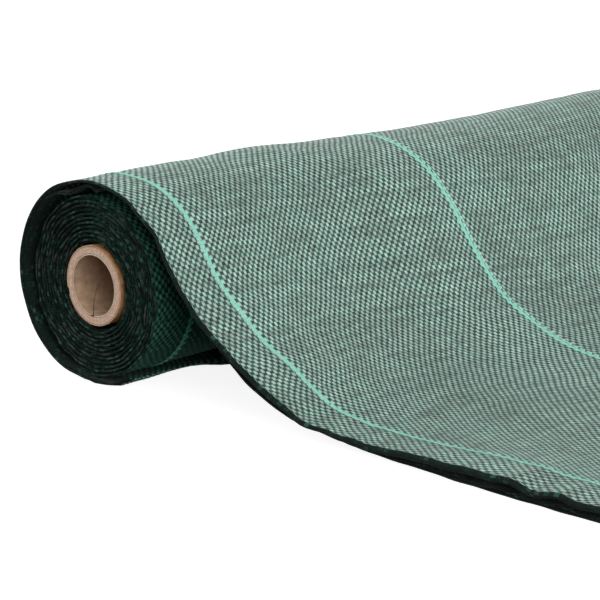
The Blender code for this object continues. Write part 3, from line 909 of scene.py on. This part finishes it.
# Guide yarns: two aqua tapes side by side, which cross the weft in turn
guideTape = {
    "width": 2.0,
    "sizeShares": (1.0, 1.35),  # the second guide yarn is wider
    "spacing": 1.6,
    "thickness": 0.16,
    "seat": 0.20,               # mean height over the cloth's face, and how far it rises and dips
    "lift": 0.24,
    "sway": 0.85,               # how far each tape steps aside where it floats
    "leastWidth": 0.3,          # share of its width that shows between rise and dip
    "stepSharpness": 2.2,
    "pickSteps": 6,
    "laidStart": 0.3,
    "laidEnd": 25.0,            # how far short of the lap's foot the laid yarns stop
    "woundShares": (0.04, 0.96),        # part of the outermost turn
}


# Both tapes of a guide yarn. surface(c, height) gives points over the cloth's face.
def tapeBands(yarn, place, surface):
    bands, share = [], guideTape["sizeShares"][yarn]
    for side in (-1, 1):
        rise = side * np.tanh(guideTape["stepSharpness"] * np.sin(np.pi * place / weave["pickPitch"]))
        lift = guideTape["seat"] + guideTape["lift"] * rise
        widthShare = guideTape["leastWidth"] + (1 - guideTape["leastWidth"]) * np.abs(rise)
        width = share * guideTape["width"] * widthShare
        centre = yarnPlaces[yarn] + share * side * (guideTape["spacing"] / 2 + guideTape["sway"] * rise)
        across = centre[:, None] + np.array([-0.5, 0.5]) * width[:, None]
        faces = [surface(across, lift + half * guideTape["thickness"] / 2) for half in (-1, 1)]
        bands.append((*faces, np.stack(np.broadcast_arrays(across, place[:, None]), axis=2)))
    return bands


def makeLaidYarn(k):
    step = weave["pickPitch"] / guideTape["pickSteps"]
    stations = stationsAt(np.arange(guideTape["laidStart"], pathLength[-1] - guideTape["laidEnd"], step))
    rows = asColumns(stations)

    def surface(c, height):
        x, topPly = plyPlace(3, c, rows)
        over = topPly + ply["thickness"] / 2 + height[:, None]
        return onPath(np.stack(np.broadcast_arrays(x, over), axis=2), stations)

    bands = tapeBands(k, pickPlace(yarnPlaces[k], stations["s"]), surface)
    piece = bandMesh(f"laidGuideYarn{k + 1}", bands, yarnMaterial)
    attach(piece, "laid_length")
    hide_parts(f"laid_guide_yarn_{k + 1}")
    return piece


def makeWoundYarn(k):
    first, last = guideTape["woundShares"]
    turnLength = 2 * np.pi * winding["outerRadius"]
    count = round((last - first) * turnLength / weave["pickPitch"] * guideTape["pickSteps"])
    turns = turnsAt(np.linspace(first, last, count))

    def surface(c, height):
        over = winding["thickness"] + 0 * c + height[:, None]
        return roundCore(np.stack((nearX + winding["edgeInset"] + c, over), axis=2), turns)

    piece = bandMesh(f"woundGuideYarn{k + 1}", tapeBands(k, turns["length"], surface), woundYarnMaterial)
    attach(piece, "roll")
    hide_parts(f"wound_guide_yarn_{k + 1}")
    return piece


laidYarns = [makeLaidYarn(k) for k in range(yarnCount)]
woundYarns = [makeWoundYarn(k) for k in range(yarnCount)]
print("guide yarns:", yarnCount, "laid and", yarnCount, "wound")


# Core: the CAD pieces stay, with paperboard finishes
for nodeName, look in boards.items():
    nodes[nodeName].material_slots[0].material = kraftBoard(look)
print("core dressed")


# Floor, light and camera
stage = {
    "floorSide": 12.0,          # m
    "floorDrop": 0.0002,
    "floorGrey": "#3C3C3C",     # what the floor gives back to the object
    "floorShade": "#999999",    # what is seen: this under the lamps, and the glow over it
    "floorGlow": 0.88,
    "white": "#FFFFFF",
    "worldDiffuse": 0.28,       # strength of the world's light on the object
}

# Soft lamps: way they shine from, strength, and how wide they look from the object
lamps = {
    "key": {"way": (-0.30, -0.85, 0.48), "strength": 2.46, "spread": 50},
    "fill": {"way": (-1.0, 0.35, 0.18), "strength": 1.35, "spread": 40},
    "back": {"way": (-0.10, 0.90, 0.38), "strength": 1.90, "spread": 50},
}


# 1 for the rays that see the white background: from the camera, off gloss and through glass
def seesWhite(add):
    path = add("LightPath")
    seen = path.outputs["Is Camera Ray"]
    for ray in ("Is Glossy Ray", "Is Transmission Ray"):
        seen = add("Math", [seen, path.outputs[ray]], operation="MAXIMUM")
    return seen


# Matt studio paint. To the eye: a plain white ground with a faint shadow where the cloth lies.
def makeFloor():
    side, z = stage["floorSide"] / 2, -stage["floorDrop"]
    mesh = bpy.data.meshes.new("floor")
    corners = [(-side, -side, z), (side, -side, z), (side, side, z), (-side, side, z)]
    mesh.from_pydata(corners, [], [(0, 1, 2, 3)])
    floor = bpy.data.objects.new("floor", mesh)
    bpy.context.collection.objects.link(floor)
    material = bpy.data.materials.new("paintedFloor")
    add = startNodes(material)
    paint = add("BsdfDiffuse", {"Color": stage["floorGrey"]})
    shaded = add("BsdfDiffuse", {"Color": stage["floorShade"]})
    glow = add("Emission", {"Color": stage["white"], "Strength": stage["floorGlow"]})
    white = add("AddShader", [shaded, glow])
    add("OutputMaterial", {"Surface": add("MixShader", [seesWhite(add), paint, white])})
    mesh.materials.append(material)


def makeWorld():
    world = bpy.data.worlds.new("studio")
    bpy.context.scene.world = world
    add = startNodes(world)
    strength = add("Mix", [seesWhite(add), stage["worldDiffuse"], 1.0])
    background = add("Background", {"Color": stage["white"], "Strength": strength})
    add("OutputWorld", {"Surface": background})


def makeLamp(name, way, strength, spread):
    lamp = bpy.data.lights.new(name, "SUN")
    lamp.energy = strength
    lamp.angle = math.radians(spread)
    lampObject = bpy.data.objects.new(name, lamp)
    lampObject.location = way
    lampObject.rotation_euler = Vector(way).to_track_quat("Z", "Y").to_euler()
    bpy.context.collection.objects.link(lampObject)


cameraView = {
    "place": (-1148.1, -772.9, 300.9),
    "heading": 42.67,           # degrees from +X towards +Y
    "downward": 13.93,
    "lens": 102.0,
    "sensorWidth": 36.0,
    "clipStart": 0.05,          # m
}


def makeCamera():
    data = bpy.data.cameras.new("photoView")
    data.lens = cameraView["lens"]
    data.sensor_width = cameraView["sensorWidth"]
    data.clip_start = cameraView["clipStart"]
    camera = bpy.data.objects.new("photoView", data)
    camera.location = Vector(cameraView["place"]) * mm
    heading, down = math.radians(cameraView["heading"]), math.radians(cameraView["downward"])
    look = Vector((math.cos(heading) * math.cos(down), math.sin(heading) * math.cos(down), -math.sin(down)))
    camera.rotation_euler = look.to_track_quat("-Z", "Y").to_euler()
    bpy.context.collection.objects.link(camera)
    bpy.context.scene.camera = camera


makeFloor()
makeWorld()
for lampName, lampSettings in lamps.items():
    makeLamp(lampName, **lampSettings)
makeCamera()
bpy.context.scene.view_settings.view_transform = "Standard"
print("floor, light and camera placed")
